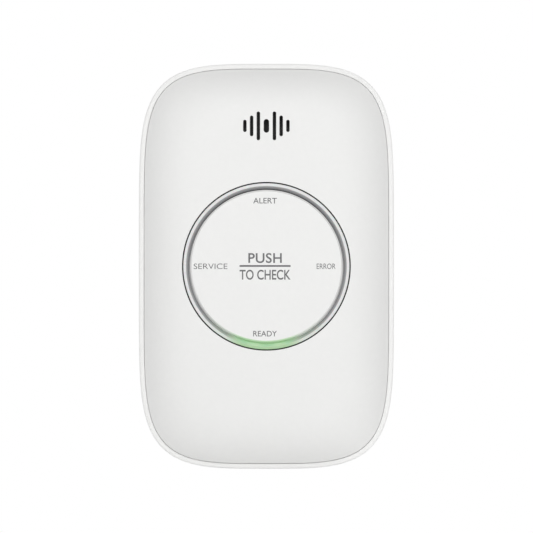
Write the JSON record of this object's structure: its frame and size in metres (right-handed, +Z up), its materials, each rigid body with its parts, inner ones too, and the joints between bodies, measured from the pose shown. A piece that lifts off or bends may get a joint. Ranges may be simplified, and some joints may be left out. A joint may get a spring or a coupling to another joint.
{
  "type": "carbon monoxide alarm",
  "caption": "Upright wall-mounted gas alarm with a domed front, round push button in a translucent light ring, sound slots, slide-on wall bracket and battery door.",
  "frame": {"origin": "middle of the case outline on the wall plane, which is also the wall bracket's back face", "axes": "+Z up the wall, the front faces -Y, +Y points into the wall, +X to the viewer's right"},
  "size_m": [0.0756, 0.036, 0.12],
  "materials": {
    "bracket_plastic": "satin",
    "housing_plastic": "satin",
    "cover_plastic": "satin",
    "ring_lens": "frosted, lets light through",
    "carrier_plastic": "satin",
    "button_plastic": "satin",
    "spring_steel": "bright",
    "board_laminate": "satin solder mask",
    "lamp_red": "clear",
    "lamp_green": "clear",
    "lamp_amber": "clear",
    "switch_black": "satin",
    "plunger_plastic": "satin",
    "chip_black": "matte",
    "coil_ferrite": "matte",
    "can_aluminium": "bright",
    "chip_tan": "matte",
    "sounder_black": "satin",
    "piezo_brass": "bright",
    "piezo_white": "smooth ceramic",
    "foam_dark": "matte foam",
    "mesh_black": "woven mesh",
    "sensor_steel": "satin",
    "sensor_cap_steel": "satin",
    "filter_white": "matte",
    "battery_wrap": "satin film over the cell",
    "battery_steel": "nickel",
    "contact_steel": "nickel plated",
    "door_plastic": "satin",
    "label_film": "satin film, left blank",
    "screw_steel": "zinc"
  },
  "bodies": {
    "bracket": {"wall_bracket": "bracket_plastic"},
    "alarm_case": {"rear_housing": "housing_plastic", "front_cover": "cover_plastic", "light_ring": "ring_lens", "ring_carrier": "carrier_plastic", "button_springs": "spring_steel", "main_board": "board_laminate", "led_alarm": "lamp_red", "led_power": "lamp_green", "led_fault": "lamp_amber", "led_service": "lamp_amber", "switch_body": "switch_black", "microcontroller": "chip_black", "boost_coil": "coil_ferrite", "capacitors": "can_aluminium", "chip_parts": "chip_tan", "sounder_cup": "sounder_black", "piezo_disc": "piezo_brass", "piezo_ceramic": "piezo_white", "piezo_contacts": "spring_steel", "sounder_lid": "sounder_black", "sounder_gasket": "foam_dark", "sounder_mesh": "mesh_black", "sensor_body": "sensor_steel", "sensor_cap": "sensor_cap_steel", "sensor_filter": "filter_white", "sensor_pins": "spring_steel", "battery_upper": "battery_wrap", "battery_lower": "battery_wrap", "battery_nubs": "battery_steel", "battery_bases": "battery_steel", "contact_link": "contact_steel", "contact_positive": "contact_steel", "contact_negative": "contact_steel", "battery_springs": "contact_steel", "cover_screws": "screw_steel", "carrier_screws": "screw_steel", "board_screws": "screw_steel"},
    "button": {"test_button": "button_plastic"},
    "plunger": {"switch_plunger": "plunger_plastic"},
    "door": {"battery_door": "door_plastic", "door_foam": "foam_dark", "rating_label": "label_film"}
  },
  "joints": [
    {"name": "unhook_slide", "type": "slide", "parent": "bracket", "child": "alarm_case", "axis": [0, 0, 1], "range_m": [0, 0.0055]},
    {"name": "button_press", "type": "slide", "parent": "alarm_case", "child": "button", "axis": [0, 1, 0], "range_m": [0, 0.0005], "stiffness_N_per_m": 800, "springref_m": -0.0015, "deforming": ["button_springs"]},
    {"name": "plunger_travel", "type": "slide", "parent": "alarm_case", "child": "plunger", "axis": [0, 1, 0], "range_m": [0, 0.0005]},
    {"name": "battery_door_hinge", "type": "hinge", "parent": "alarm_case", "child": "door", "pos_m": [0, -0.00175, -0.0488], "axis": [-1, 0, 0], "range_deg": [0, 100]}
  ],
  "couplings": [
    {"joint": "plunger_travel", "follows": "button_press", "ratio": 1}
  ]
}
